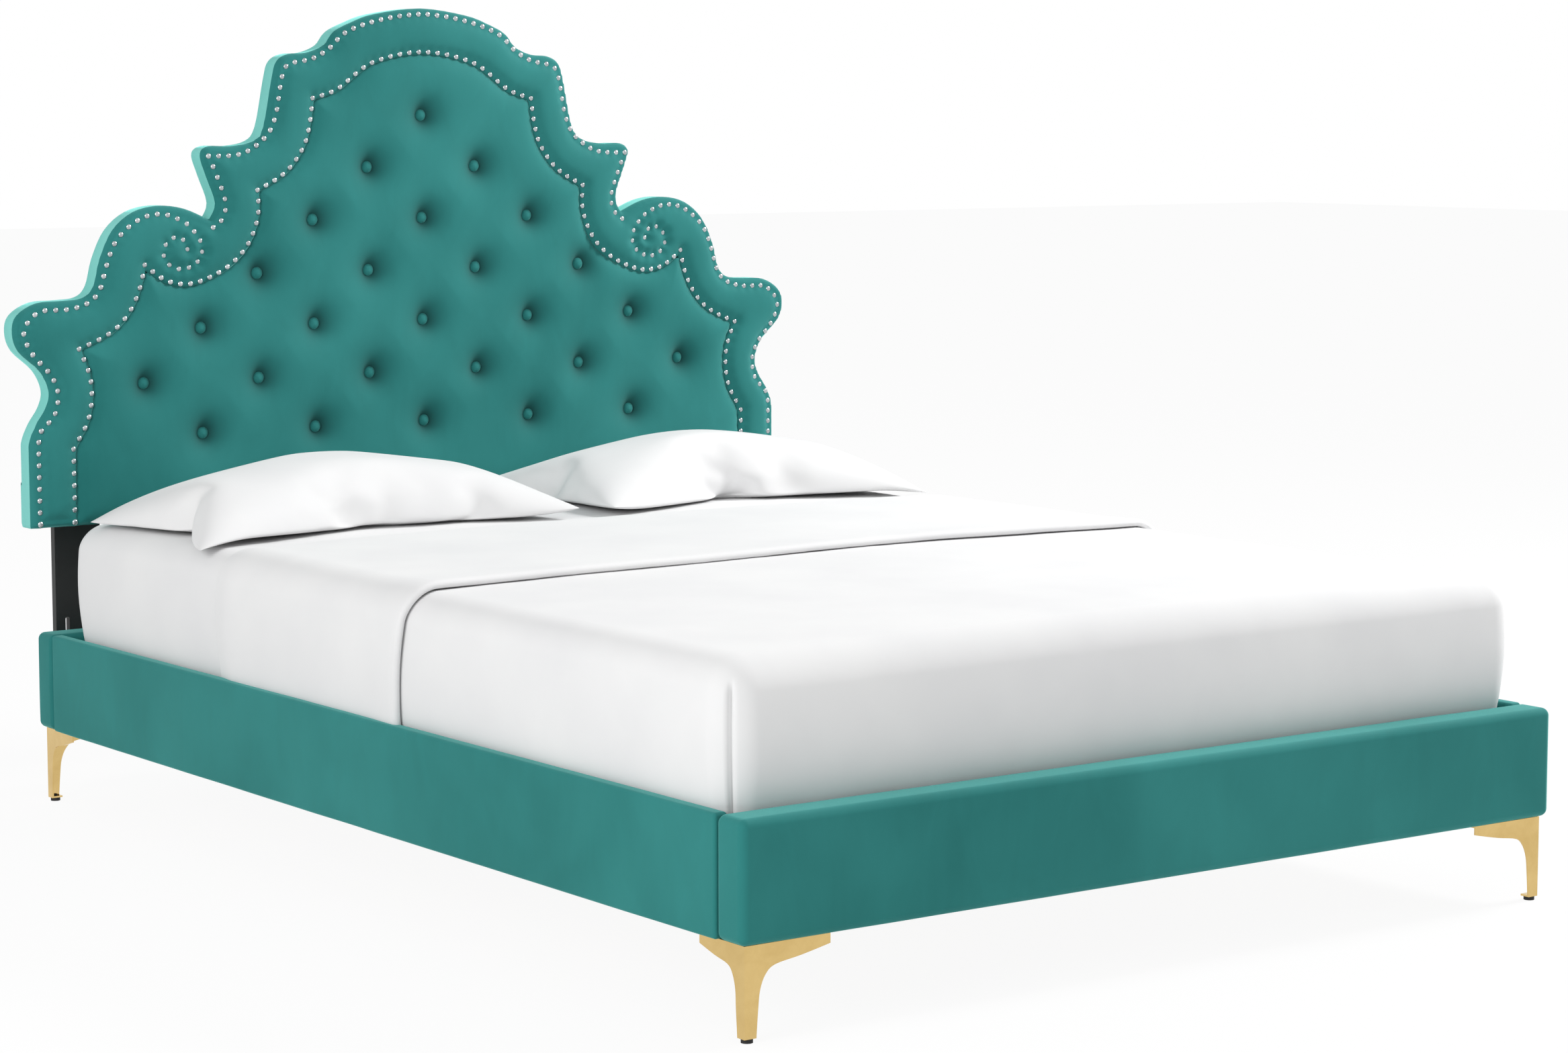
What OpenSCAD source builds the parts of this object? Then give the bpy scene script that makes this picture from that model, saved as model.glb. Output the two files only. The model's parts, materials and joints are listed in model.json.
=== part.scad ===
// Upholstered platform bed with a scalloped, tufted headboard and a made-up mattress.
// The foot of the bed points to -Y, the headboard stands at +Y, and the floor is z = 0.

/* [Mattress] */
// Mattress width
mattress_w = 1524; // [900:1:1900]
// Mattress length
mattress_l = 2032; // [1600:1:2500]
// Mattress thickness
mattress_t = 245; // [180:1:320]
// Gap between the mattress and each side rail
side_gap = 4; // [3:0.5:12]
// Gap between the mattress and the foot rail
foot_gap = 4; // [3:0.5:20]
// Gap between the mattress and the head rail
head_gap = 44; // [20:1:90]

/* [Rails] */
// Height of the rails' lower edge above the floor
rail_bottom = 135; // [110:1:200]
// Height of the rails
rail_h = 176; // [150:1:240]
// Thickness of the padded foot rail and head rail
end_rail_t = 65; // [54:1:90]
// Thickness of the timber core in the foot rail and head rail
end_core_t = 30; // [22:1:34]
// Thickness of each side rail
side_rail_t = 24; // [20:1:40]
// Thickness of the side rails' padded cover
side_cover_t = 3; // [1.5:0.5:5]
// Thickness of the velvet
velvet_t = 1.5; // [1:0.1:2.5]
// Radius of the end rails' padded top edges
rail_round = 14; // [6:1:20]

/* [Headboard] */
// Height of the headboard's crest above the floor
crest_z = 1443; // [1200:1:1700]
// Height of the headboard's lower edge above the floor
board_bottom = 505; // [420:1:560]
// Distance across the headboard's straight sides
board_w = 1640; // [1400:1:1980]
// Thickness of the headboard's border
board_t = 48; // [40:1:70]
// How far the tufted panel stands out of the border
panel_puff = 12; // [4:1:18]
// Thickness of the plywood core
core_t = 15; // [12:1:20]
// Thickness of the velvet band round the rim
band_t = 3; // [2:0.5:5]
// Space between two tufting buttons in a row
tuft_x = 236; // [200:1:270]
// Height between two rows of tufting buttons
tuft_z = 97; // [80:1:104]
// Drop from the crest to the top button
first_tuft = 201; // [180:1:220]
// Radius of a tufting button
button_r = 12; // [9:0.5:14]
// Radius of a nailhead
nail_r = 5.5; // [4:0.1:6.5]
// Space between two nailheads
nail_pitch = 20.5; // [16:0.5:30]

/* [Struts] */
// Distance between the two struts' centre lines
strut_span = 1408; // [1100:1:1440]
// Width of a strut
strut_w = 90; // [76:1:120]
// Thickness of a strut
strut_t = 15; // [10:1:20]
// Thickness of the batten between a strut and the headboard
batten_t = 16; // [10:1:24]
// Radius of every structural bolt
bolt_r = 4; // [3:0.5:5]

/* [Slats] */
// Number of slats
slat_count = 14; // [8:1:18]
// Width of a slat
slat_w = 70; // [50:1:90]
// Thickness of a slat
slat_t = 15; // [12:1:20]
// Width of a slat ledge
ledge_w = 22; // [18:1:40]
// Height of a slat ledge
ledge_h = 35; // [25:1:45]
// Width of the centre beam
beam_w = 45; // [35:1:70]
// Height of the centre beam
beam_h = 60; // [45:1:70]
// Radius of a centre leg
centre_leg_r = 19; // [14:1:20]

/* [Legs] */
// Length of a gold leg's arm across the bed
arm_x = 145; // [110:1:180]
// Length of a gold leg's arm along the bed
arm_y = 106; // [90:1:150]
// Width of the front face at a gold leg's foot
foot_x = 20; // [19:1:30]
// Width of the side face at a gold leg's foot
foot_y = 17; // [17:1:30]
// Thickness of the gold leg's metal
leg_t = 3; // [2:0.5:4]
// Distance from the rails' outer corner to a gold leg
leg_inset = 12; // [4:1:16]
// Height of a gold leg's black glide
glide_h = 6; // [4:1:9]

/* [Bedding] */
// Thickness of the fitted sheet
fitted_t = 1; // [0.5:0.1:1.5]
// Thickness of the top sheet
sheet_t = 1.5; // [1:0.1:2]
// Thickness of the turned-down part of the top sheet
turn_t = 12; // [6:1:24]
// Distance from the mattress's foot to the turned-down hem
hem_from_foot = 851; // [500:1:1100]
// Width of the turned-down part
turn_w = 610; // [200:1:640]
// Width of a pillow
pillow_w = 752; // [400:1:760]
// Depth of a pillow
pillow_l = 490; // [350:1:520]
// Thickness of a pillow
pillow_t = 130; // [90:1:180]

/* [Hidden] */

teal = [0.16, 0.47, 0.44];
teal_light = [0.45, 0.78, 0.74];
timber = [0.80, 0.66, 0.47];
foam = [0.93, 0.89, 0.72];
black = [0.10, 0.11, 0.11];
gold = [0.84, 0.71, 0.45];
steel = [0.62, 0.63, 0.65];
linen = [0.95, 0.95, 0.95];

// Running clearance round every shank, and the size of the heads.
fit = 0.1;
head_r = 1.7 * bolt_r;
head_h = 5;
washer_r = 2.4 * bolt_r;
washer_t = 1.6;
nut_r = 1.4 * bolt_r;
flange_r = 2.6 * bolt_r;
flange_t = 2;
screw_r = 2.5;
screw_head_r = 4.5;
screw_head_h = 3;

// Frame: outer size of the rails, and where they start and end along the bed.
inner_w = mattress_w + 2 * side_gap;
outer_w = inner_w + 2 * side_rail_t;
inner_l = mattress_l + foot_gap + head_gap;
outer_l = inner_l + 2 * end_rail_t;
rail_top = rail_bottom + rail_h;
strut_reach = strut_t + washer_t + head_h;
foot_out = -(outer_l + strut_reach) / 2;
foot_in = foot_out + end_rail_t;
head_in = foot_in + inner_l;
head_out = head_in + end_rail_t;
frame_y = (foot_out + head_out) / 2;

// Slats: the mattress lies on them, and they lie on the ledges and the beam.
ledge_top = rail_top - 56;
ledge_x = inner_w / 2 - ledge_w / 2;
mattress_z = ledge_top + slat_t;
mattress_top = mattress_z + mattress_t;
mattress_y = foot_in + foot_gap;
slat_gap_end = 60;
slat_step = (inner_l - 2 * slat_gap_end - slat_w) / (slat_count - 1);
slat_y = [for (i = [0:slat_count - 1]) foot_in + slat_gap_end + slat_w / 2 + i * slat_step];
hanger_t = 3;
beam_bottom = ledge_top - beam_h;
leg_y = [for (share = [1, 2, 3]) foot_in + inner_l * share / 4];

// Headboard: layers from the front of the border to the back.
board_back = head_out - batten_t;
board_front = board_back - board_t;
dust_t = 1;
anchor_t = 3;
core_back = board_back - dust_t - anchor_t;
core_front = core_back - core_t;
panel_front = board_front - panel_puff;
valley = 6;
button_depth = 28;
button_h = 8;
dimple_r = 30;
dimple_depth = button_depth - button_h;
twine_r = 1;
strut_x = strut_span / 2;
strut_foot = rail_bottom + 20;
strut_top = board_bottom + 380;
slot_x = strut_w / 4;
slot_low = rail_bottom + 40;
slot_high = rail_top + 17;
rail_bolt_z = [rail_bottom + 84, rail_bottom + 130];
board_bolt_z = [board_bottom + 60, board_bottom + 190, board_bottom + 320];

// The headboard's curves, drawn for a board 1640 wide and 938 high, then scaled to size.
drawn_w = 1640;
drawn_crest = 1443;
drawn_bottom = 505;
sx = board_w / drawn_w;
sz = (crest_z - board_bottom) / (drawn_crest - drawn_bottom);
function place(p) = [p[0] * sx, board_bottom + (p[1] - drawn_bottom) * sz];

// A smooth curve through all points but the first and last, which only set its end slopes.
steps = 4;
function blend(a, b, c, d, t) =
    0.5 * (2 * b + (c - a) * t + (2 * a - 5 * b + 4 * c - d) * t * t + (3 * b - a - 3 * c + d) * t * t * t);
function curve(p, n = steps) = concat(
    [for (i = [1:len(p) - 3]) for (k = [0:n - 1]) blend(p[i - 1], p[i], p[i + 1], p[i + 2], k / n)],
    [p[len(p) - 2]]);
function placed(p, n = steps) = [for (q = curve(p, n)) place(q)];

// Steps in the inner row's curves, long enough for its corners to be drawn in.
corner_steps = 3;

// Right half of the rim: crest and shoulder down to the notch, then the ear down to the straight side.
rim_upper = placed([[-100, 1431], [0, 1443], [100, 1431], [150, 1415], [188, 1397], [210, 1372], [246, 1358],
    [284, 1355], [309, 1341], [320, 1306], [338, 1222], [360, 1195], [406, 1186], [452, 1186], [470, 1171],
    [458, 1132], [440, 1082], [453, 1052], [453, 1052]]);
rim_lower = placed([[453, 1052], [453, 1052], [504, 1073], [556, 1079], [607, 1068], [648, 1036], [674, 985],
    [688, 936], [710, 916], [750, 912], [800, 909], [838, 888], [847, 858], [836, 824], [796, 787],
    [779, 750], [786, 720], [806, 690], [820, 655], [820, 610]]);
rim = concat(rim_upper, rim_lower, [place([820, drawn_bottom])]);

// Right half of the outer nail row.
outer_crest = placed([[-10, 1432], [0, 1432], [61, 1426], [124, 1412], [172, 1393], [202, 1366], [240, 1346],
    [288, 1336], [303, 1312], [317, 1242], [340, 1201], [391, 1171], [457, 1168], [457, 1168]]);
outer_tip = placed([[457, 1168], [457, 1168], [439, 1128], [423, 1080], [436, 1046], [470, 1030], [480, 1030]]);
outer_arch = placed([[487, 1030], [504, 1045], [543, 1062], [582, 1061], [618, 1043], [648, 1013], [666, 970],
    [680, 928], [704, 906], [744, 896], [800, 893], [829, 859], [812, 818], [780, 783], [765, 748],
    [773, 707], [801, 678], [805, 640], [805, 600]]);
outer_side = [place([805, 640]), place([805, 513])];

// Right-hand scroll, from the arch's start inwards.
scroll = placed([[520, 1060], [504, 1045], [480, 1020], [474, 992], [488, 972], [515, 963], [541, 972],
    [552, 992], [544, 1012], [524, 1022], [505, 1010], [505, 995], [520, 990], [530, 996]]);

// Right half of the inner nail row, which runs down the valley round the tufted panel.
inner_crest = placed([[-54, 1356], [0, 1361], [54, 1356], [113, 1340], [148, 1319], [190, 1289],
    [240, 1274], [240, 1274]], corner_steps);
inner_shoulder = placed([[240, 1274], [240, 1274], [247, 1225], [262, 1181], [300, 1136], [358, 1105],
    [358, 1105]], corner_steps);
inner_arch = placed([[358, 1105], [358, 1105], [357, 1062], [372, 1018], [400, 982], [442, 954],
    [498, 936], [548, 943], [590, 973], [590, 973]], corner_steps);
inner_ear = placed([[590, 973], [590, 973], [600, 932], [622, 888], [660, 852], [723, 825], [723, 825]], corner_steps);
inner_waist = placed([[723, 825], [723, 825], [704, 780], [700, 735], [710, 690], [736, 645], [738, 600]], corner_steps);
inner_side = [place([738, 645]), place([738, 513])];
panel_edge = concat(inner_crest, inner_shoulder, inner_arch, inner_ear, inner_waist,
    [[738 * sx, board_bottom + band_t - valley]]);

// A whole outline from its right half, and the same outline drawn in by d.
function whole(h) = concat(h, [for (i = [len(h) - 1:-1:1]) [-h[i][0], h[i][1]]]);
function apart(p) = [for (i = [0:len(p) - 1]) if (norm(p[i] - p[(i + 1) % len(p)]) > 0.5) p[i]];
function unit(v) = v / norm(v);
function drawn_in(q, d) = let (p = apart(q), n = len(p)) [for (i = [0:n - 1])
    let (u = unit(p[i] - p[(i + n - 1) % n]), v = unit(p[(i + 1) % n] - p[i]), m = unit(u + v))
    p[i] + d / max(0.5, m * v) * [m[1], -m[0]]];
board_outline = apart(whole(rim));
core_outline = drawn_in(board_outline, band_t);
panel_outline = drawn_in(whole(panel_edge), valley);

// The border runs round the panel from one bottom corner to the other, open at the bottom.
function right_half(p) = [for (q = p) if (q[0] > -0.01) q];
function backwards(p) = [for (i = [len(p) - 1:-1:0]) p[i]];
function across(p) = [for (q = p) if (q[0] > 0.01) [-q[0], q[1]]];
border_outline = concat(right_half(core_outline), backwards(right_half(panel_outline)),
    across(right_half(panel_outline)), backwards(across(right_half(core_outline))));

// Points at an even pitch along a path, from its start up to but not including its end.
function ways(p) = [for (i = 0, s = 0; i < len(p); s = s + (i < len(p) - 1 ? norm(p[i + 1] - p[i]) : 0),
    i = i + 1) s];
function point_at(p, w, s) = let (i = max([for (k = [0:len(w) - 2]) w[k] <= s ? k : 0]))
    p[i] + (p[i + 1] - p[i]) * (s - w[i]) / (w[i + 1] - w[i]);
function spaced(path, lead = 0) = let (p = [for (i = [0:len(path) - 1])
        if (i == 0 || norm(path[i] - path[i - 1]) > 0.01) path[i]],
    w = ways(p), run = w[len(w) - 1] - lead, n = max(1, round(run / nail_pitch)))
    [for (k = [0:n - 1]) point_at(p, w, lead + k * run / n)];
outer_nails = concat(spaced(outer_crest, nail_pitch / 2), spaced(outer_tip),
    spaced(outer_arch), spaced(outer_side), [outer_side[1]]);
inner_nails = concat(spaced(inner_crest, nail_pitch / 2), spaced(inner_shoulder), spaced(inner_arch),
    spaced(inner_ear), spaced(inner_waist), spaced(inner_side), [inner_side[1]]);
scroll_nails = [for (i = [1:len(spaced(scroll)) - 1]) spaced(scroll)[i]];

// Tufting buttons: seven staggered rows, the seventh one button shorter than the sixth.
tuft_rows = [1, 2, 3, 4, 5, 6, 5];
tufts = [for (row = [0:len(tuft_rows) - 1]) for (i = [0:tuft_rows[row] - 1])
    [(i - (tuft_rows[row] - 1) / 2) * tuft_x * sx, crest_z - (first_tuft + row * tuft_z) * sz]];

// Extrudes an XZ outline between two depths along Y.
module slab(front, back) {
    translate([0, back, 0]) rotate([90, 0, 0]) linear_extrude(back - front) children();
}

// A rod along Y, and a hole with the running clearance.
module rod(x, z, front, back, r) {
    translate([x, back, z]) rotate([90, 0, 0]) cylinder(r = r, h = back - front, $fn = 32);
}

// A part drawn for the foot-left corner of the rails, set at any corner.
module at_corner(side, end) {
    translate([side * outer_w / 2, frame_y + end * outer_l / 2, 0])
        mirror([side > 0 ? 1 : 0, 0, 0])
            mirror([0, end > 0 ? 1 : 0, 0])
                children();
}

module at_corners() {
    for (side = [-1, 1]) for (end = [-1, 1]) at_corner(side, end) children();
}

module on_struts() {
    for (side = [-1, 1]) translate([side * strut_x, 0, 0]) children();
}

// --- Headboard ---

module headboard_core() color(timber) {
    difference() {
        slab(core_front, core_back) polygon(core_outline);
        for (t = tufts) rod(t[0], t[1], core_front - 1, core_back + 1, 2.5 * twine_r);
        on_struts() for (z = board_bolt_z) {
            rod(0, z, core_front - 1, core_back + 1, nut_r);
            rod(0, z, core_front - 1, core_front + flange_t, flange_r);
        }
    }
}

module headboard_border_pad() color(teal) {
    slab(board_front, core_front) polygon(border_outline);
}

module headboard_tufted_panel() color(teal) {
    difference() {
        slab(panel_front, core_front) polygon(panel_outline);
        for (t = tufts) {
            rod(t[0], t[1], panel_front - 1, panel_front + button_depth, button_r + 1);
            translate([t[0], panel_front + dimple_depth, t[1]]) rotate([90, 0, 0])
                cylinder(r1 = button_r + 1, r2 = dimple_r, h = dimple_depth + 0.01, $fn = 32);
            rod(t[0], t[1], panel_front, core_front + 1, twine_r + fit);
        }
    }
}

module headboard_edge_band() color(teal_light) {
    slab(board_front, board_back) difference() {
        polygon(board_outline);
        polygon(core_outline);
    }
}

module headboard_dust_cover() color(black) {
    difference() {
        slab(board_back - dust_t, board_back) polygon(core_outline);
        on_struts() for (z = board_bolt_z) rod(0, z, board_back - 2, board_back + 1, bolt_r + fit);
    }
}

module tufting_buttons() color(teal) {
    cap_r = (button_r * button_r + button_h * button_h) / (2 * button_h);
    for (t = tufts) translate([t[0], panel_front + button_depth, t[1]]) rotate([90, 0, 0])
        difference() {
            translate([0, 0, button_h - cap_r]) sphere(r = cap_r, $fn = 40);
            translate([0, 0, -cap_r]) cube(2 * cap_r, center = true);
        }
}

module tufting_twines() color(linen) {
    for (t = tufts) rod(t[0], t[1], panel_front + button_depth, core_back, twine_r);
}

module tufting_anchors() color(black) {
    for (t = tufts) rod(t[0], t[1], core_back, core_back + anchor_t, 10);
}

// A domed nailhead on the border's face.
nail_h = 3;
module nailhead() {
    rotate([90, 0, 0]) rotate_extrude($fn = 24)
        polygon([[0, 0], [nail_r, 0], [0.87 * nail_r, 0.45 * nail_h], [0.5 * nail_r, 0.85 * nail_h], [0, nail_h]]);
}

module nail_row(points) color("silver") {
    for (side = [-1, 1]) for (p = points) translate([side * p[0], board_front, p[1]]) nailhead();
}

module nailheads_outer() nail_row(outer_nails);
module nailheads_inner() nail_row(inner_nails);
module nailhead_scrolls() nail_row(scroll_nails);

module headboard_batten(side) color(timber) {
    difference() {
        translate([side * strut_x - strut_w / 2, board_back, board_bottom + 15])
            cube([strut_w, batten_t, strut_top - board_bottom - 15]);
        on_struts() for (z = board_bolt_z) rod(0, z, board_back - 1, head_out + 1, bolt_r + fit);
    }
}

// A slot along Z for a bolt.
module slot(x) {
    slab(head_out - 1, head_out + strut_t + 1) {
        translate([x - bolt_r - fit, slot_low]) square([2 * (bolt_r + fit), slot_high - slot_low]);
        translate([x, slot_low]) circle(r = bolt_r + fit, $fn = 32);
        translate([x, slot_high]) circle(r = bolt_r + fit, $fn = 32);
    }
}

module headboard_strut(side) color(black) {
    difference() {
        translate([side * strut_x - strut_w / 2, head_out, strut_foot])
            cube([strut_w, strut_t, strut_top - strut_foot]);
        for (x = [-slot_x, slot_x]) slot(side * strut_x + x);
        on_struts() for (z = board_bolt_z) rod(0, z, head_out - 1, head_out + strut_t + 1, bolt_r + fit);
    }
}

// A bolt along Y whose head is at the back, and the tee nut that it turns into.
module bolt_from_back(x, z, tip, seat) {
    rod(x, z, tip, seat, bolt_r);
    rod(x, z, seat, seat + head_h, head_r);
}

module tee_nut(x, z, front, length) {
    difference() {
        union() {
            rod(x, z, front, front + flange_t, flange_r);
            rod(x, z, front + flange_t, front + length, nut_r);
        }
        rod(x, z, front - 1, front + length + 1, bolt_r + fit);
    }
}

module strut_headboard_bolts() color(steel) {
    on_struts() for (z = board_bolt_z) bolt_from_back(0, z, core_front + flange_t, head_out + strut_t);
}

module strut_headboard_tee_nuts() color(steel) {
    on_struts() for (z = board_bolt_z) tee_nut(0, z, core_front, core_t);
}

rail_core_y = (end_rail_t - end_core_t) / 2;
module on_rail_bolts() {
    on_struts() for (x = [-slot_x, slot_x]) for (z = rail_bolt_z) translate([x, 0, z]) children();
}

module strut_rail_bolts() color(steel) {
    on_rail_bolts() bolt_from_back(0, 0, head_in + rail_core_y + flange_t, head_out + strut_t + washer_t);
}

module strut_rail_washers() color(steel) {
    on_rail_bolts() difference() {
        rod(0, 0, head_out + strut_t, head_out + strut_t + washer_t, washer_r);
        rod(0, 0, head_out, head_out + strut_t + 5, bolt_r + fit);
    }
}

module strut_rail_tee_nuts() color(steel) {
    on_rail_bolts() tee_nut(0, 0, head_in + rail_core_y, end_core_t);
}

// --- Rails ---

// Side view of an end rail's padding: round at the top, nearly square at the bottom.
function arc(x, z, r, from, to) = [for (k = [0:5]) let (a = from + (to - from) * k / 5)
    [x + r * cos(a), z + r * sin(a)]];
function rail_side(inset) = let (r = rail_round - inset, s = 4 - inset, w = end_rail_t - inset,
    low = rail_bottom + inset, high = rail_top - inset) concat(
    arc(w - s, low + s, s, -90, 0), arc(w - r, high - r, r, 0, 90),
    arc(inset + r, high - r, r, 90, 180), arc(inset + s, low + s, s, 180, 270));

module rail_prism(y, inset) {
    translate([-outer_w / 2 + inset, y, 0]) rotate([90, 0, 90])
        linear_extrude(outer_w - 2 * inset) polygon(rail_side(inset));
}

module rail_core_box(y) {
    end_pad = 18;
    translate([-outer_w / 2 + end_pad, y + rail_core_y, rail_bottom + velvet_t])
        cube([outer_w - 2 * end_pad, end_core_t, rail_h - velvet_t - end_pad]);
}

// Holes that the fasteners need in the end rails.
leg_screw_x = [leg_inset + 35, leg_inset + 72, leg_inset + 109];
leg_screw_y = end_rail_t / 2;
bracket_arm = 60;
bracket_h = 70;
bracket_t = 3;
bracket_z = rail_bottom + 10;
bracket_bolt_z = [bracket_z + 18, bracket_z + bracket_h - 18];
bracket_bolt = bracket_arm / 2 + 8;
hanger_side = 26;

module end_rail_holes() {
    at_corners() for (x = leg_screw_x)
        translate([x, leg_screw_y, rail_bottom - 1]) cylinder(r = screw_r + fit, h = 31, $fn = 24);
    at_corners() for (z = bracket_bolt_z)
        rod(side_rail_t + bracket_bolt, z, rail_core_y + 2, end_rail_t + 1, bolt_r + fit);
    for (y = [foot_in, head_in]) for (x = [-1, 1])
        rod(x * (beam_w / 2 + hanger_side / 2 + hanger_t), ledge_top - 30,
            y - rail_core_y - 20, y + rail_core_y + 20, screw_r + fit);
    on_rail_bolts() rod(0, 0, head_in + rail_core_y + 1, head_out + 1, bolt_r + fit);
}

module end_rail_core(y) color(timber) {
    difference() {
        rail_core_box(y);
        end_rail_holes();
        on_rail_bolts() {
            rod(0, 0, head_in + rail_core_y - 1, head_in + rail_core_y + flange_t, flange_r);
            rod(0, 0, head_in + rail_core_y, head_in + rail_core_y + end_core_t + 1, nut_r);
        }
    }
}

module end_rail_foam(y) color(foam) {
    difference() {
        rail_prism(y, velvet_t);
        rail_core_box(y);
        end_rail_holes();
    }
}

module end_rail_cover(y) color(teal) {
    difference() {
        rail_prism(y, 0);
        rail_prism(y, velvet_t);
        end_rail_holes();
    }
}

// Holes that the fasteners need in the side rails.
ledge_screw_n = 8;
ledge_screw_y = [for (i = [0:ledge_screw_n - 1]) foot_in + inner_l * (i + 0.5) / ledge_screw_n];
module side_rail_holes() {
    at_corners() for (z = bracket_bolt_z) translate([4, end_rail_t + bracket_bolt, z])
        rotate([0, 90, 0]) cylinder(r = bolt_r + fit, h = side_rail_t, $fn = 32);
    for (side = [0, 1]) mirror([side, 0, 0]) for (y = ledge_screw_y)
        translate([inner_w / 2 - 1, y, ledge_top - ledge_h / 2])
            rotate([0, 90, 0]) cylinder(r = screw_r + fit, h = 17, $fn = 24);
}

module side_rail_box(side, inset) {
    translate([side > 0 ? inner_w / 2 + inset : -outer_w / 2 + inset, foot_in + inset, rail_bottom + inset])
        cube([side_rail_t - 2 * inset, inner_l - 2 * inset, rail_h - 2 * inset]);
}

module side_rail_core(side) color(timber) {
    difference() {
        side_rail_box(side, side_cover_t);
        side_rail_holes();
    }
}

module side_rail_cover(side) color(teal) {
    difference() {
        side_rail_box(side, 0);
        side_rail_box(side, side_cover_t);
        side_rail_holes();
    }
}

// --- Brackets, ledges, beam and slats ---

module corner_bracket(side, end) color(steel) {
    at_corner(side, end) difference() {
        translate([side_rail_t, end_rail_t, bracket_z]) union() {
            cube([bracket_arm, bracket_t, bracket_h]);
            cube([bracket_t, bracket_arm, bracket_h]);
        }
        for (z = bracket_bolt_z) {
            rod(side_rail_t + bracket_bolt, z, end_rail_t - 1, end_rail_t + bracket_t + 1, bolt_r + fit);
            translate([side_rail_t - 1, end_rail_t + bracket_bolt, z]) rotate([0, 90, 0])
                cylinder(r = bolt_r + fit, h = bracket_t + 2, $fn = 32);
        }
    }
}

module bracket_bolts() color(steel) {
    at_corners() for (z = bracket_bolt_z) {
        bolt_from_back(side_rail_t + bracket_bolt, z, rail_core_y + 3, end_rail_t + bracket_t);
        translate([5, end_rail_t + bracket_bolt, z]) rotate([0, 90, 0]) {
            cylinder(r = bolt_r, h = side_rail_t + bracket_t - 5, $fn = 32);
            translate([0, 0, side_rail_t + bracket_t - 5]) cylinder(r = head_r, h = head_h, $fn = 32);
        }
    }
}

module slat_ledge(side) color(timber) {
    difference() {
        translate([side * ledge_x - ledge_w / 2, foot_in + 2, ledge_top - ledge_h])
            cube([ledge_w, inner_l - 4, ledge_h]);
        for (y = ledge_screw_y) translate([side * ledge_x - ledge_w, y, ledge_top - ledge_h / 2])
            rotate([0, 90, 0]) cylinder(r = screw_r + fit, h = 2 * ledge_w, $fn = 24);
        for (y = slat_y) translate([side * ledge_x, y, ledge_top - 20]) cylinder(r = 2.2 + fit, h = 21, $fn = 24);
    }
}

module ledge_screws() color(steel) {
    for (side = [0, 1]) mirror([side, 0, 0]) for (y = ledge_screw_y)
        translate([inner_w / 2 - ledge_w, y, ledge_top - ledge_h / 2]) rotate([0, 90, 0]) {
            cylinder(r = screw_r, h = ledge_w + 15, $fn = 24);
            translate([0, 0, -screw_head_h]) cylinder(r = screw_head_r, h = screw_head_h, $fn = 24);
        }
}

module centre_beam() color(timber) {
    difference() {
        translate([-beam_w / 2, foot_in + hanger_t, beam_bottom]) cube([beam_w, inner_l - 2 * hanger_t, beam_h]);
        for (y = slat_y) translate([0, y, ledge_top - 20]) cylinder(r = 2.2 + fit, h = 21, $fn = 24);
        for (y = leg_y) translate([0, y, beam_bottom - 1]) cylinder(r = bolt_r + fit, h = 31, $fn = 32);
    }
}

// A steel stirrup that carries one end of the beam: drawn for the foot, mirrored for the head.
module beam_hanger(end) color(steel) {
    translate([0, frame_y + end * inner_l / 2, 0]) mirror([0, end > 0 ? 1 : 0, 0]) difference() {
        union() {
            translate([-beam_w / 2 - hanger_t - hanger_side, 0, beam_bottom - hanger_t])
                cube([beam_w + 2 * hanger_t + 2 * hanger_side, hanger_t, beam_h + hanger_t]);
            translate([-beam_w / 2 - hanger_t, 0, beam_bottom - hanger_t])
                cube([beam_w + 2 * hanger_t, 45, beam_h + hanger_t]);
        }
        translate([-beam_w / 2, hanger_t, beam_bottom]) cube([beam_w, 50, beam_h + 1]);
        for (x = [-1, 1]) rod(x * (beam_w / 2 + hanger_side / 2 + hanger_t), ledge_top - 30, -1, 10, screw_r + fit);
    }
}

module hanger_screws() {
    for (end = [0, 1]) translate([0, frame_y, 0]) mirror([0, end, 0]) translate([0, -inner_l / 2, 0])
        for (x = [-1, 1]) {
            rod(x * (beam_w / 2 + hanger_side / 2 + hanger_t), ledge_top - 30, -rail_core_y - 15, hanger_t, screw_r);
            rod(x * (beam_w / 2 + hanger_side / 2 + hanger_t), ledge_top - 30, hanger_t, hanger_t + 3, screw_head_r);
        }
}

module centre_leg(i) color(black) {
    translate([0, leg_y[i], 0]) {
        translate([0, 0, glide_h]) cylinder(r = centre_leg_r, h = beam_bottom - glide_h, $fn = 48);
        translate([0, 0, beam_bottom]) cylinder(r = bolt_r, h = 28, $fn = 32);
    }
}

module centre_leg_glides() color(black) {
    for (y = leg_y) translate([0, y, 0]) cylinder(r = centre_leg_r - 3, h = glide_h, $fn = 48);
}

slat_screw_x = [-ledge_x, 0, ledge_x];
slat_screw_grip = 11;
module slats() color(timber) {
    for (y = slat_y) difference() {
        translate([-inner_w / 2 + 2, y - slat_w / 2, ledge_top]) cube([inner_w - 4, slat_w, slat_t]);
        for (x = slat_screw_x) translate([x, y, ledge_top]) {
            translate([0, 0, -1]) cylinder(r = 2.2 + fit, h = slat_t + 2, $fn = 24);
            translate([0, 0, slat_t - screw_head_h]) cylinder(r = screw_head_r + fit, h = 5, $fn = 24);
        }
    }
}

module slat_screws() color(steel) {
    for (y = slat_y) for (x = slat_screw_x) translate([x, y, ledge_top - slat_screw_grip]) {
        cylinder(r = 2.2, h = slat_screw_grip + slat_t - screw_head_h, $fn = 24);
        translate([0, 0, slat_screw_grip + slat_t - screw_head_h])
            cylinder(r = screw_head_r, h = screw_head_h - 0.3, $fn = 24);
    }
}

// --- Gold legs ---

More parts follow.
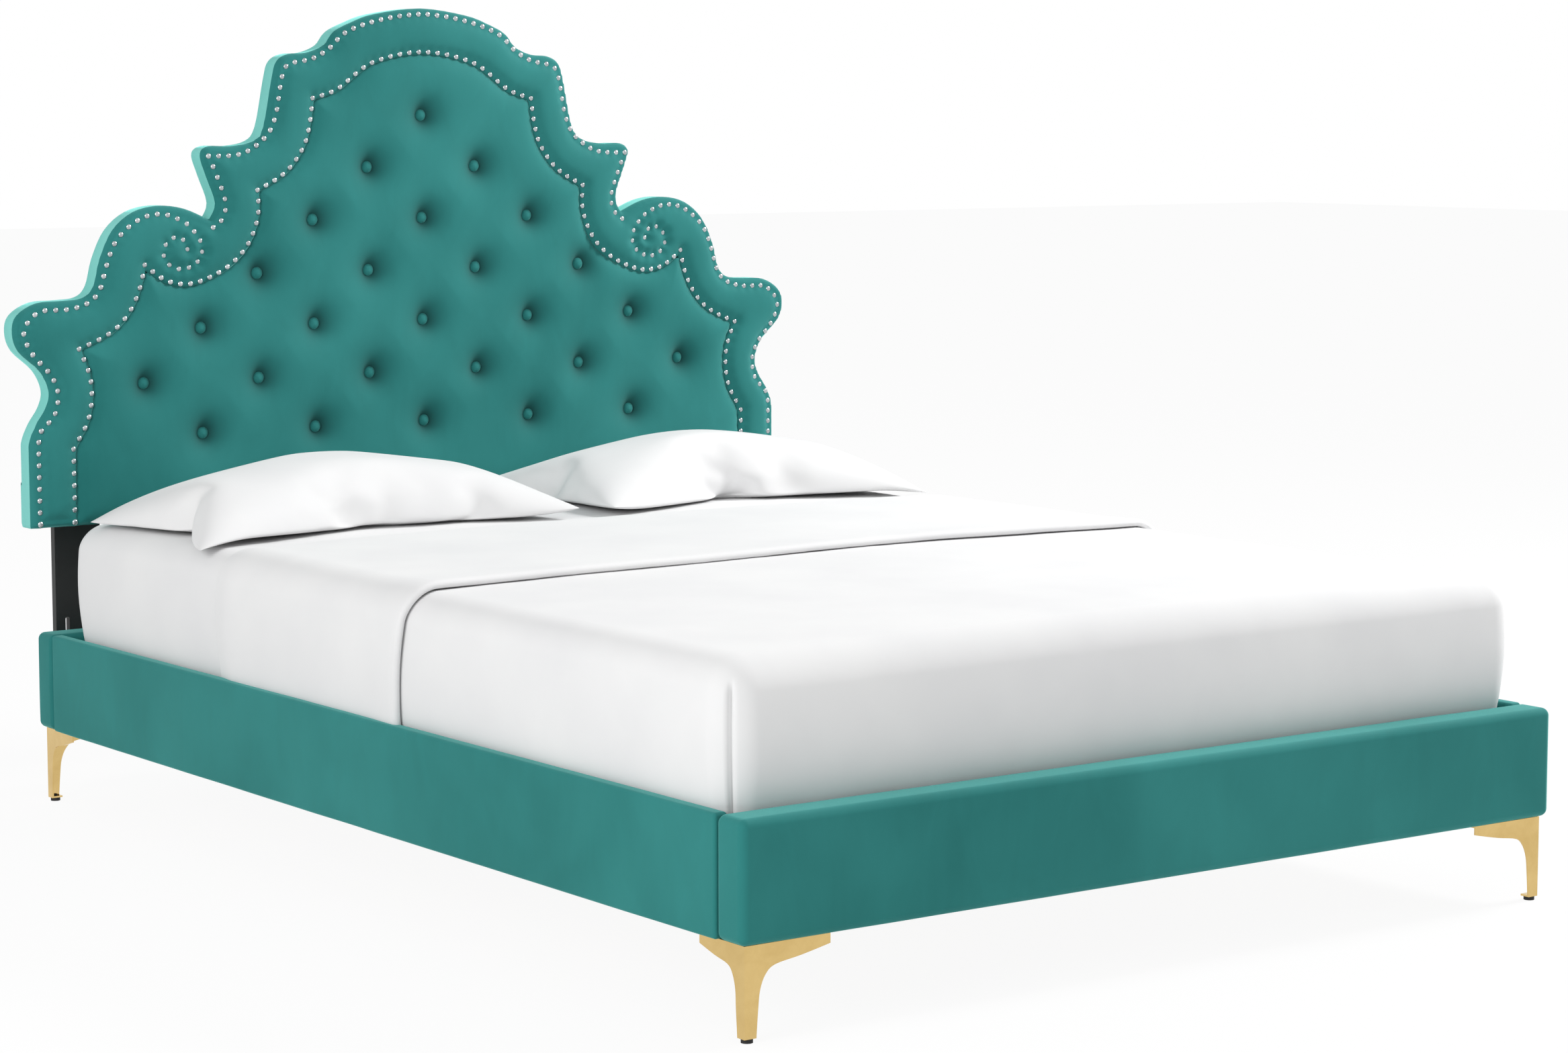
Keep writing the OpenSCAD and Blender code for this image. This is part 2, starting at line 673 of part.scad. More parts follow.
// One face of a leg: a narrow foot that sweeps out into a tapering arm under the rail.
drawn_leg = 135;
function blade(foot_w, arm) = let (reach = arm - foot_w, k = rail_bottom / drawn_leg,
    line = curve([[foot_w, 0], [foot_w, 6], [foot_w + 3, 46], [foot_w + 0.05 * reach, 72],
        [foot_w + 0.12 * reach, 92], [foot_w + 0.25 * reach, 104], [foot_w + 0.6 * reach, 111],
        [arm, 121], [arm + 20, 127]]))
    concat([[0, rail_bottom], [0, glide_h], [foot_w, glide_h]],
        [for (i = [1:len(line) - 1]) [line[i][0], line[i][1] * k]], [[arm, rail_bottom]]);

module gold_leg(side, end) color(gold) {
    at_corner(side, end) translate([leg_inset, leg_inset, 0]) difference() {
        union() {
            slab(0, leg_t) polygon(blade(foot_x, arm_x));
            rotate([90, 0, 90]) linear_extrude(leg_t) polygon(blade(foot_y, arm_y));
            translate([0, 0, rail_bottom - leg_t]) linear_extrude(leg_t)
                polygon([[0, 0], [arm_x, 0], [arm_x, 14], [arm_x / 2, 48], [24, 48], [18, arm_y], [0, arm_y]]);
            translate([0, 0, glide_h]) cube([foot_x, foot_y, leg_t]);
        }
        for (x = leg_screw_x) translate([x - leg_inset, leg_screw_y - leg_inset, rail_bottom - 10])
            cylinder(r = screw_r + fit, h = 11, $fn = 24);
        translate([foot_x / 2, foot_y / 2, glide_h - 1]) cylinder(r = 3 + fit, h = leg_t + 2, $fn = 24);
    }
}

module leg_screws() color(steel) {
    at_corners() for (x = leg_screw_x) translate([x, leg_screw_y, rail_bottom - leg_t]) {
        cylinder(r = screw_r, h = leg_t + 28, $fn = 24);
        translate([0, 0, -screw_head_h]) cylinder(r = screw_head_r, h = screw_head_h, $fn = 24);
    }
}

module leg_glides() color(black) {
    at_corners() translate([leg_inset + foot_x / 2, leg_inset + foot_y / 2, 0]) {
        cylinder(r = min(foot_x, foot_y) / 2, h = glide_h, $fn = 32);
        translate([0, 0, glide_h]) cylinder(r = 3, h = leg_t + 2, $fn = 24);
    }
}

// --- Bedding ---

// The mattress's block from its foot to a length l, grown by g and lying from z to top.
corner_r = 60;
module block(g, l, z, top) {
    r = corner_r + g;
    translate([0, mattress_y, z]) linear_extrude(top - z) intersection() {
        union() {
            translate([-mattress_w / 2 - g, corner_r]) square([mattress_w + 2 * g, mattress_l - 2 * corner_r]);
            translate([-mattress_w / 2 + corner_r, -g]) square([mattress_w - 2 * corner_r, mattress_l + 2 * g]);
            for (x = [-1, 1]) for (y = [corner_r, mattress_l - corner_r])
                translate([x * (mattress_w / 2 - corner_r), y]) circle(r = r, $fn = 64);
        }
        translate([-mattress_w, -50]) square([2 * mattress_w, l + 50 + (l < mattress_l ? 0 : 50)]);
    }
}

module mattress() color(linen) block(0, mattress_l, mattress_z, mattress_top);

module fitted_sheet() color(linen) {
    difference() {
        block(fitted_t, mattress_l, mattress_z + 10, mattress_top + fitted_t);
        block(0, mattress_l, mattress_z, mattress_top);
    }
}

sheet_top = mattress_top + fitted_t + sheet_t;
turn_end = hem_from_foot + turn_w;
module top_sheet() color(linen) {
    difference() {
        union() {
            block(fitted_t + sheet_t, turn_end, mattress_z + 30, sheet_top);
            intersection() {
                block(fitted_t + sheet_t, turn_end, rail_top, sheet_top + turn_t);
                translate([-mattress_w, mattress_y + hem_from_foot, 0]) cube([2 * mattress_w, mattress_l, 2000]);
            }
        }
        block(fitted_t, mattress_l, mattress_z, mattress_top + fitted_t);
    }
}

pillow_gap = 10;
pillow_y = mattress_y + mattress_l - pillow_l / 2 - 55;
module pillow(side) color(linen) {
    rest = mattress_top + fitted_t + 0.3;
    translate([side * (pillow_w + pillow_gap) / 2, pillow_y, rest + pillow_t / 2]) hull() {
        cube([pillow_w, pillow_l, 12], center = true);
        cube([pillow_w - 90, pillow_l - 90, 0.7 * pillow_t], center = true);
        cube([pillow_w - 240, pillow_l - 240, pillow_t], center = true);
    }
}

headboard_core();
headboard_border_pad();
headboard_tufted_panel();
headboard_edge_band();
headboard_dust_cover();
tufting_buttons();
tufting_twines();
tufting_anchors();
nailheads_outer();
nailheads_inner();
nailhead_scrolls();
headboard_batten(-1);  // headboard_batten_left
headboard_batten(1);  // headboard_batten_right
headboard_strut(-1);  // headboard_strut_left
headboard_strut(1);  // headboard_strut_right
strut_headboard_bolts();
strut_headboard_tee_nuts();
strut_rail_bolts();
strut_rail_washers();
strut_rail_tee_nuts();
end_rail_core(foot_out);  // foot_rail_core
end_rail_foam(foot_out);  // foot_rail_foam
end_rail_cover(foot_out);  // foot_rail_cover
end_rail_core(head_in);  // head_rail_core
end_rail_foam(head_in);  // head_rail_foam
end_rail_cover(head_in);  // head_rail_cover
side_rail_core(-1);  // side_rail_core_left
side_rail_cover(-1);  // side_rail_cover_left
side_rail_core(1);  // side_rail_core_right
side_rail_cover(1);  // side_rail_cover_right
corner_bracket(-1, -1);  // corner_bracket_foot_left
corner_bracket(1, -1);  // corner_bracket_foot_right
corner_bracket(-1, 1);  // corner_bracket_head_left
corner_bracket(1, 1);  // corner_bracket_head_right
union() {
    bracket_bolts();
    hanger_screws();
}
slat_ledge(-1);  // slat_ledge_left
slat_ledge(1);  // slat_ledge_right
ledge_screws();
centre_beam();
beam_hanger(-1);  // beam_hanger_foot
beam_hanger(1);  // beam_hanger_head
centre_leg(0);  // centre_leg_foot
centre_leg(1);  // centre_leg_middle
centre_leg(2);  // centre_leg_head
centre_leg_glides();
slats();
slat_screws();
gold_leg(-1, -1);  // gold_leg_foot_left
gold_leg(1, -1);  // gold_leg_foot_right
gold_leg(-1, 1);  // gold_leg_head_left
gold_leg(1, 1);  // gold_leg_head_right
leg_screws();
leg_glides();
mattress();
fitted_sheet();
top_sheet();
pillow(-1);  // pillow_left
pillow(1);  // pillow_right
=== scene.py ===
"""The looks of an upholstered bed: velvet headboard with tufts and nailheads, velvet rails, gold legs, white bedding.

Lengths are in metres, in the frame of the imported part: the foot of the bed points to -Y and the floor is z = 0.
"""

import json
import math

import bmesh
import bpy
import numpy as np
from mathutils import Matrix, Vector, kdtree, noise


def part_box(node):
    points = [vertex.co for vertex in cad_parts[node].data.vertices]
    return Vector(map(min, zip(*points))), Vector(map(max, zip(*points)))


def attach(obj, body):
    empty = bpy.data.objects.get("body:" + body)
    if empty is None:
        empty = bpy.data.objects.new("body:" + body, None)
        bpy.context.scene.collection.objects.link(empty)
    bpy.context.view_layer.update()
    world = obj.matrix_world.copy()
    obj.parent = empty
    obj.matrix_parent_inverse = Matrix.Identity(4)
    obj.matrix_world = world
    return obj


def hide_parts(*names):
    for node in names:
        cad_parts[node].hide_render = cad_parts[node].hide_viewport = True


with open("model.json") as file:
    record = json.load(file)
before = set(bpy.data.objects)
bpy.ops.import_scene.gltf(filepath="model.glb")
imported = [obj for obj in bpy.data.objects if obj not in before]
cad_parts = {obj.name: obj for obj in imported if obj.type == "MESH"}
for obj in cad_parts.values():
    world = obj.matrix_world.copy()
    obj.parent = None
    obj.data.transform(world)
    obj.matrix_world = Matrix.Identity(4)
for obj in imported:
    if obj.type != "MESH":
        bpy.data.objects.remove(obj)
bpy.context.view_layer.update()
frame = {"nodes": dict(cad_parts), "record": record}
NODES = frame["nodes"]
SCENE = bpy.context.scene
MM = 0.001


# --- Node materials ---------------------------------------------------------------------------------------------

def srgb(r, g, b):
    """A colour given as it looks on a screen, 0 to 255, as linear values."""
    def one(v):
        v = v / 255
        return v / 12.92 if v <= 0.04045 else ((v + 0.055) / 1.055) ** 2.4
    return (one(r), one(g), one(b), 1.0)


class Mat:
    """A Principled material, with short calls for the nodes that shape its colour, roughness and bump."""

    def __init__(self, name, roughness, metallic=0.0, **sockets):
        self.m = bpy.data.materials.new(name)
        self.m.use_nodes = True
        self.nt = self.m.node_tree
        self.bsdf = self.nt.nodes["Principled BSDF"]
        self.bsdf.inputs["Roughness"].default_value = roughness
        self.bsdf.inputs["Metallic"].default_value = metallic
        for key, value in sockets.items():
            self.bsdf.inputs[key.replace("_", " ")].default_value = value
        self.coord = self.nt.nodes.new("ShaderNodeTexCoord").outputs["Object"]

    def node(self, kind, values=None, **props):
        n = self.nt.nodes.new(kind)
        for key, value in props.items():
            setattr(n, key, value)
        for key, value in (values or {}).items():
            if hasattr(value, "is_linked"):
                self.nt.links.new(value, n.inputs[key])
            else:
                n.inputs[key].default_value = value
        return n

    def scaled(self, x, y, z):
        return self.node("ShaderNodeMapping", {"Vector": self.coord, "Scale": (x, y, z)}).outputs["Vector"]

    def noise(self, scale, detail=3.0, rough=0.5, distortion=0.0, at=None):
        return self.node("ShaderNodeTexNoise", {"Vector": at or self.coord, "Scale": scale, "Detail": detail,
                                                "Roughness": rough, "Distortion": distortion}).outputs["Fac"]

    def wave(self, scale, distortion, at=None, direction="X", detail=2.0):
        return self.node("ShaderNodeTexWave", {"Vector": at or self.coord, "Scale": scale, "Detail": detail,
                                               "Distortion": distortion},
                         bands_direction=direction).outputs["Fac"]

    def ramp(self, fac, stops):
        n = self.node("ShaderNodeValToRGB", {"Fac": fac})
        ramp = n.color_ramp
        while len(ramp.elements) < len(stops):
            ramp.elements.new(0.5)
        for element, (place, colour) in zip(ramp.elements, stops):
            element.position = place
            element.color = colour
        return n.outputs["Color"]

    def math(self, op, a, b=0.0):
        return self.node("ShaderNodeMath", {0: a, 1: b}, operation=op).outputs[0]

    def span(self, fac, low, high):
        return self.node("ShaderNodeMapRange", {"Value": fac, "To Min": low, "To Max": high}).outputs["Result"]

    def colour(self, socket):
        self.nt.links.new(socket, self.bsdf.inputs["Base Color"])

    def roughness(self, socket):
        self.nt.links.new(socket, self.bsdf.inputs["Roughness"])

    def bump(self, *layers):
        """Layers are (height socket, strength, distance in metres), the coarsest first."""
        normal = None
        for height, strength, distance in layers:
            values = {"Height": height, "Strength": strength, "Distance": distance}
            if normal is not None:
                values["Normal"] = normal
            normal = self.node("ShaderNodeBump", values).outputs["Normal"]
        self.nt.links.new(normal, self.bsdf.inputs["Normal"])


def velvet(name, low, high, tint, sheen=0.55):
    """Short-pile velvet: the nap lies in soft drifts, the pile is a fine grain, and the sheen lifts its edges;
    painted shade darkens it round each tufting button.
    """
    m = Mat(name, 0.82, Sheen_Weight=sheen, Sheen_Roughness=0.38, Sheen_Tint=tint, Specular_IOR_Level=0.2)
    drift = m.noise(3.2, 2.0, 0.45, 0.6)
    brushed = m.noise(16.0, 3.0, 0.6, 1.2, at=m.scaled(1.0, 1.0, 0.45))
    pile = m.noise(1500.0, 2.0, 0.7)
    mixed = m.math("ADD", m.math("MULTIPLY", drift, 0.66), m.math("MULTIPLY", brushed, 0.22))
    mixed = m.math("ADD", mixed, m.math("MULTIPLY", pile, 0.12))
    nap = m.ramp(mixed, [(0.28, low), (0.72, high)])
    # Painted shade: the colour darkens towards each tufting button, standing in for the shade in the dimples.
    button_painted_shade = m.node("ShaderNodeAttribute", attribute_name="button_painted_shade").outputs["Fac"]
    shade = m.span(button_painted_shade, 1.0, 0.22)
    m.colour(m.node("ShaderNodeVectorMath", {0: nap, "Scale": shade}, operation="SCALE").outputs["Vector"])
    m.roughness(m.span(brushed, 0.76, 0.9))
    m.bump((brushed, 0.05, 0.001), (pile, 0.2, 0.0004))
    return m.m


def cotton(name, base, shade, threads=1900.0):
    """Plain-weave cotton: two crossed sets of uneven threads, a slightly uneven tone and soft creases."""
    m = Mat(name, 0.86, Sheen_Weight=0.12, Sheen_Roughness=0.5, Specular_IOR_Level=0.25)
    tone = m.noise(5.0, 3.0, 0.5)
    warp = m.noise(threads, 2.0, 0.6, at=m.scaled(1.0, 0.3, 1.0))
    weft = m.noise(threads, 2.0, 0.6, at=m.scaled(0.3, 1.0, 1.0))
    weave = m.math("MULTIPLY", warp, weft)
    m.colour(m.ramp(m.math("ADD", m.math("MULTIPLY", tone, 0.8), m.math("MULTIPLY", weave, 0.2)),
                    [(0.2, shade), (0.6, base)]))
    m.roughness(m.span(tone, 0.8, 0.92))
    m.bump((m.noise(9.0, 3.0, 0.5, 0.4), 0.12, 0.006), (weave, 0.1, 0.0003))
    return m.m


def wood(name, pale, dark, rings=5.0, along="Y"):
    """Sawn softwood: growth rings stretched along the board and fine pores."""
    m = Mat(name, 0.62, Specular_IOR_Level=0.35)
    stretch = (1.0, 0.06, 1.0) if along == "Y" else (0.06, 1.0, 1.0) if along == "X" else (1.0, 1.0, 0.06)
    at = m.scaled(*stretch)
    bands = m.wave(rings, 5.0, at=at, direction="DIAGONAL", detail=3.0)
    pores = m.noise(420.0, 3.0, 0.7, at=at)
    mixed = m.math("ADD", m.math("MULTIPLY", bands, 0.6), m.math("MULTIPLY", pores, 0.4))
    m.colour(m.ramp(mixed, [(0.2, dark), (0.75, pale)]))
    m.roughness(m.span(pores, 0.5, 0.75))
    m.bump((bands, 0.08, 0.001), (pores, 0.15, 0.0004))
    return m.m


def polished(name, base, worn, roughness, flecks=0.04):
    """Plated metal: a mirror finish with faint polishing lines and thumbed patches."""
    m = Mat(name, roughness, metallic=1.0)
    patches = m.noise(22.0, 4.0, 0.6, 0.4)
    lines = m.noise(240.0, 3.0, 0.6, at=m.scaled(1.0, 1.0, 0.08))
    m.colour(m.ramp(patches, [(0.3, worn), (0.7, base)]))
    m.roughness(m.span(m.math("MULTIPLY", patches, lines), roughness * 0.8, roughness * 1.6 + 0.05))
    m.bump((lines, flecks, 0.0003))
    return m.m


def painted(name, base, scuffed, roughness):
    """Satin black coating with an orange-peel surface and paler scuffs."""
    m = Mat(name, roughness, Specular_IOR_Level=0.45)
    peel = m.noise(420.0, 2.0, 0.5)
    scuffs = m.noise(9.0, 6.0, 0.75, 0.8)
    m.colour(m.ramp(scuffs, [(0.55, base), (0.85, scuffed)]))
    m.roughness(m.span(scuffs, roughness, roughness + 0.2))
    m.bump((peel, 0.12, 0.0004))
    return m.m


def zinc(name):
    """Zinc-plated steel: faint crystalline patches over a brushed surface."""
    m = Mat(name, 0.36, metallic=1.0)
    cells = m.node("ShaderNodeTexVoronoi", {"Vector": m.coord, "Scale": 260.0}).outputs["Distance"]
    brushed = m.noise(300.0, 3.0, 0.6, at=m.scaled(1.0, 0.1, 1.0))
    m.colour(m.ramp(cells, [(0.1, srgb(150, 152, 156)), (0.7, srgb(190, 192, 196))]))
    m.roughness(m.span(brushed, 0.3, 0.5))
    m.bump((brushed, 0.1, 0.0003))
    return m.m


def nonwoven(name):
    """Black spun-bonded cloth: a grid of tiny heat-sealed dots in a fibrous sheet."""
    m = Mat(name, 0.92, Sheen_Weight=0.15, Specular_IOR_Level=0.15)
    dots = m.node("ShaderNodeTexVoronoi", {"Vector": m.coord, "Scale": 380.0, "Randomness": 0.1}).outputs["Distance"]
    fibres = m.noise(700.0, 4.0, 0.75, 1.0)
    m.colour(m.ramp(m.math("MULTIPLY", dots, fibres), [(0.05, srgb(16, 17, 18)), (0.45, srgb(44, 46, 48))]))
    m.bump((m.noise(14.0, 3.0), 0.12, 0.003), (dots, 0.3, 0.0004))
    return m.m


def foam_material(name):
    m = Mat(name, 0.95, Subsurface_Weight=0.1)
    cells = m.noise(900.0, 3.0, 0.8)
    m.colour(m.ramp(cells, [(0.3, srgb(214, 204, 160)), (0.7, srgb(240, 232, 196))]))
    m.bump((cells, 0.4, 0.0006))
    return m.m


TEAL_TINT = (0.35, 0.95, 0.88, 1.0)
FINISH = {
    "velvet": velvet("velvet", srgb(30, 108, 105), srgb(48, 130, 127), TEAL_TINT),
    # velvet_light is a paler copy of the velvet, painted light for the bright sheen on the headboard's sides.
    "velvet_light": velvet("velvet_light", srgb(112, 192, 184), srgb(136, 212, 204), TEAL_TINT, 0.8),
    "plywood": wood("plywood", srgb(216, 184, 138), srgb(176, 138, 92), 3.0, "X"),
    "timber": wood("timber", srgb(222, 190, 142), srgb(182, 140, 90), 6.0),
    "foam": foam_material("foam"),
    "dust_cloth": nonwoven("dust_cloth"),
    "black_paint": painted("black_paint", srgb(26, 28, 28), srgb(50, 52, 52), 0.42),
    "black_plastic": painted("black_plastic", srgb(22, 22, 23), srgb(40, 40, 42), 0.6),
    "twine": cotton("twine", srgb(226, 220, 204), srgb(200, 192, 172), 4000.0),
    "nail_chrome": polished("nail_chrome", srgb(196, 201, 203), srgb(164, 170, 173), 0.2),
    "zinc_steel": zinc("zinc_steel"),
    "gold_metal": polished("gold_metal", srgb(220, 190, 128), srgb(208, 177, 114), 0.12, 0.02),
    "sheet_cotton": cotton("sheet_cotton", srgb(229, 229, 229), srgb(222, 222, 223)),
    "mattress_knit": cotton("mattress_knit", srgb(240, 240, 238), srgb(226, 226, 224), 900.0),
}
CROSSWISE = wood("timber_crosswise", srgb(222, 190, 142), srgb(182, 140, 90), 6.0, "X")
for part in frame["record"]["subparts"]:
    data = NODES[part["node"]].data
    data.materials.clear()
    crosswise = part["node"] in ("slats", "foot_rail_core", "head_rail_core")
    data.materials.append(CROSSWISE if crosswise else FINISH[part["material_slot"]])


# --- Mesh helpers -----------------------------------------------------------------------------------------------

def mesh_object(name, verts, faces, slot, smooth=True):
    """A mesh object with the slot's finish, smooth-shaded unless smooth is false."""
    data = bpy.data.meshes.new(name)
    data.from_pydata([tuple(v) for v in verts], [], [tuple(int(i) for i in f) for f in faces])
    data.validate()
    data.materials.append(FINISH[slot])
    if smooth:
        data.polygons.foreach_set("use_smooth", [True] * len(data.polygons))
    obj = bpy.data.objects.new(name, data)
    SCENE.collection.objects.link(obj)
    return obj


def span_points(low, high, radius, step, bend=6):
    """Places from low to high, close together in the rounded ends and about a step apart between them.

    In an end, equal turns of angle are the tangent of the angle apart on the flat side of a box."""
    turn = [radius * math.tan(math.pi / 4 * k / bend) for k in range(bend + 1)]
    flat = max(1, round((high - low - 2 * radius) / step))
    inner = np.linspace(low + radius, high - radius, flat + 1)
    start = [low + radius - t for t in reversed(turn)]
    end = [high - radius + t for t in turn]
    return np.array(start[:-1] + list(inner) + end[1:])


def rounded_box(low, high, radius, step, bend=6):
    """Points, outward normals and quads of a box whose edges are all rounded."""
    low, high = np.array(low, float), np.array(high, float)
    axes = [span_points(low[i], high[i], radius, step, bend) for i in range(3)]
    index, points, faces = {}, [], []

    def corner(i, j, k):
        key = (i, j, k)
        if key not in index:
            index[key] = len(points)
            points.append((axes[0][i], axes[1][j], axes[2][k]))
        return index[key]

    sizes = [len(a) for a in axes]
    for axis in range(3):
        u, v = [(1, 2), (2, 0), (0, 1)][axis]
        for side in (0, sizes[axis] - 1):
            for a in range(sizes[u] - 1):
                for b in range(sizes[v] - 1):
                    quad = []
                    for da, db in ((0, 0), (1, 0), (1, 1), (0, 1)):
                        cell = [0, 0, 0]
                        cell[axis], cell[u], cell[v] = side, a + da, b + db
                        quad.append(corner(*cell))
                    faces.append(quad if side else quad[::-1])
    points = np.array(points)
    core = np.clip(points, low + radius, high - radius)
    normals = points - core
    normals /= np.linalg.norm(normals, axis=1)[:, None]
    return core + radius * normals, normals, np.array(faces)


def ripple(points, scale, seed):
    """Smooth noise from -1 to 1 at each point."""
    return np.array([noise.noise(Vector(p) * scale + Vector((seed, 0, 0))) for p in points])


def keep_faces(points, faces, keep):
    """The faces that keep is true for, and only the points that they use."""
    faces = faces[keep]
    used = np.unique(faces)
    lookup = np.full(len(points), -1)
    lookup[used] = np.arange(len(used))
    return used, lookup[faces]


def smoothstep(x):
    x = np.clip(x, 0, 1)
    return x * x * (3 - 2 * x)


# --- What the CAD says about the headboard ----------------------------------------------------------------------

def side_loops(node):
    """Closed outlines (x, z) of the walls that run along Y in a node, the widest first."""
    data = NODES[node].data
    keys, points, links = {}, [], {}

    def key(v):
        k = (round(v.co.x * 20000), round(v.co.z * 20000))
        if k not in keys:
            keys[k] = len(points)
            points.append((v.co.x, v.co.z))
        return keys[k]

    for face in data.polygons:
        if abs(face.normal.y) < 0.01:
            ends = list({key(data.vertices[i]) for i in face.vertices})
            if len(ends) == 2:
                links.setdefault(ends[0], set()).add(ends[1])
                links.setdefault(ends[1], set()).add(ends[0])
    loops, seen = [], set()
    for start in links:
        if start in seen:
            continue
        loop, here, last = [start], start, None
        seen.add(start)
        while True:
            ahead = [n for n in links[here] if n != last and n not in seen]
            if not ahead:
                break
            last, here = here, ahead[0]
            seen.add(here)
            loop.append(here)
        loops.append(np.array([points[i] for i in loop]))
    return sorted(loops, key=lambda p: -np.ptp(p[:, 0]))


def solid_centres(node):
    """Middle of each separate solid in a node."""
    data = NODES[node].data
    parent = list(range(len(data.vertices)))

    def root(i):
        while parent[i] != i:
            parent[i] = parent[parent[i]]
            i = parent[i]
        return i

    places = {}
    for v in data.vertices:
        k = (round(v.co.x * 1e5), round(v.co.y * 1e5), round(v.co.z * 1e5))
        if k in places:
            parent[root(v.index)] = root(places[k])
        else:
            places[k] = v.index
    for edge in data.edges:
        parent[root(edge.vertices[0])] = root(edge.vertices[1])
    groups = {}
    for v in data.vertices:
        groups.setdefault(root(v.index), []).append(v.co)
    centres = []
    for members in groups.values():
        co = np.array(members)
        centres.append((co.min(0) + co.max(0)) / 2)
    return np.array(sorted(map(tuple, centres)))


def distance_to_loop(points, loop):
    """Distance from each (x, z) point to a closed outline, positive inside, and the nearest place on it."""
    a, d = loop, np.roll(loop, -1, axis=0) - loop
    length = np.maximum((d * d).sum(axis=1), 1e-12)
    gaps, nearest = np.empty(len(points)), np.empty_like(points)
    for start in range(0, len(points), 4000):
        p = points[start:start + 4000, None, :]
        t = np.clip(((p - a) * d).sum(axis=2) / length, 0, 1)
        foot = a + t[:, :, None] * d
        gap = np.linalg.norm(p - foot, axis=2)
        best = gap.argmin(axis=1)
        rows = np.arange(len(best))
        crosses = (a[:, 1] > p[:, :, 1]) != ((a + d)[:, 1] > p[:, :, 1])
        rise = np.where(np.abs(d[:, 1]) < 1e-12, 1e-12, d[:, 1])
        left = p[:, :, 0] < d[:, 0] * (p[:, :, 1] - a[:, 1]) / rise + a[:, 0]
        inside = (crosses & left).sum(axis=1) % 2 == 1
        gaps[start:start + 4000] = np.where(inside, gap[rows, best], -gap[rows, best])
        nearest[start:start + 4000] = foot[rows, best]
    return gaps, nearest


RIM = side_loops("headboard_edge_band")[0]
SEAM = side_loops("headboard_tufted_panel")[0]
FACE_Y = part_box("headboard_border_pad")[0].y
BACK_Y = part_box("headboard_edge_band")[1].y
PUFF = FACE_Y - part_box("headboard_tufted_panel")[0].y
BUTTON_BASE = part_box("tufting_buttons")[1].y
BUTTON_R = (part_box("tufting_buttons")[1].z - solid_centres("tufting_buttons")[:, 2].max())
NAIL_NODES = ("nailheads_outer", "nailheads_inner", "nailhead_scrolls")
NAILS = {node: solid_centres(node) for node in NAIL_NODES}
TUFTS = solid_centres("tufting_buttons")
RIM_ROUND = 11 * MM
NAIL_INSET = 13 * MM
VALLEY = 6 * MM


def nearest_of(points, centres):
    """Distance from each (x, z) point to the nearest of some centres."""
    tree = kdtree.KDTree(len(centres))
    for i, c in enumerate(centres):
        tree.insert((c[0], 0, c[2]), i)
    tree.balance()
    return np.array([tree.find((p[0], 0, p[1]))[2] for p in points])


def trimmed_grid(loop, hole, step):
    """Grid over a closed outline less a hole, with its edge points moved onto the outlines."""
    low, high = loop.min(0) - step, loop.max(0) + step
    xs = np.arange(low[0], high[0] + step, step)
    zs = np.arange(low[1], high[1] + step, step)
    gx, gz = np.meshgrid(xs, zs, indexing="ij")
    points = np.stack([gx.ravel(), gz.ravel()], axis=1)
    outer, on_outer = distance_to_loop(points, loop)
    inner, on_inner = (-np.ones(len(points)), points) if hole is None else distance_to_loop(points, hole)
    ok = (outer > -0.3 * step) & (inner < 0.3 * step)
    n = len(zs)
    i, j = np.meshgrid(np.arange(len(xs) - 1), np.arange(n - 1), indexing="ij")
    corner = (i * n + j).ravel()
    faces = np.stack([corner, corner + n, corner + n + 1, corner + 1], axis=1)
    used, faces = keep_faces(points, faces, ok[faces].all(axis=1))
    points = points[used].copy()
    edge = sorted({v for pair in boundary_edges(faces) for v in pair})
    for v in edge:
        k = used[v]
        points[v] = on_inner[k] if hole is not None and abs(inner[k]) < abs(outer[k]) else on_outer[k]
    return points, faces


def boundary_edges(faces):
    """Open edges of a set of quads, each in its face's order."""
    seen = {}
    for f in faces:
        for a, b in zip(f, np.roll(f, -1)):
            key = (min(a, b), max(a, b))
            seen[key] = None if key in seen else (a, b)
    return [edge for edge in seen.values() if edge is not None]


def with_walls(points, faces, rings_for):
    """Adds walls that hang from the open edges: rings_for gives the later places of the edge points."""
    edges = boundary_edges(faces)
    rim = np.array(sorted({v for e in edges for v in e}))
    rings = rings_for(points[rim])
    verts = np.concatenate([points] + rings)
    ladder = {v: [v] + [len(points) + k * len(rim) + i for k in range(len(rings))] for i, v in enumerate(rim)}
    quads = [tuple(f) for f in faces]
    for a, b in edges:
        for k in range(len(rings)):
            quads.append((ladder[b][k], ladder[a][k], ladder[a][k + 1], ladder[b][k + 1]))
    return verts, quads


# --- Headboard velvet -------------------------------------------------------------------------------------------

def border_height(p):
    """How far the border's velvet stands in front of its nailheads."""
    from_rim, _ = distance_to_loop(p, RIM)
    from_seam = -distance_to_loop(p, SEAM)[0]
    near_nail = nearest_of(p, np.concatenate([NAILS["nailheads_outer"], NAILS["nailheads_inner"]]))
    near_scroll = nearest_of(p, NAILS["nailhead_scrolls"])
    a = np.clip(from_rim - NAIL_INSET, 0, None)
    b = np.clip(from_seam - VALLEY, 0, None)
    share = a / np.maximum(a + b, 1e-6)
    crown = 1 - np.abs(2 * share - 1) ** 2.4
    room = np.clip((a + b) / (50 * MM), 0, 1)
    height = 11 * MM * crown * room
    lip = np.clip(from_rim, 0, RIM_ROUND)
    height -= RIM_ROUND - np.sqrt(np.maximum(RIM_ROUND ** 2 - (RIM_ROUND - lip) ** 2, 0))
    height += 1.6 * MM * np.exp(-((from_rim - 9 * MM) / (4 * MM)) ** 2)
    height -= 5 * MM * (1 - smoothstep(from_seam / (5 * MM)))
    pull = np.exp(-(near_nail / (8 * MM)) ** 2)
    height = height * (1 - pull) + 0.2 * MM * pull
    pull = np.exp(-(near_scroll / (12 * MM)) ** 2)
    return height * (1 - pull) + 0.2 * MM * pull


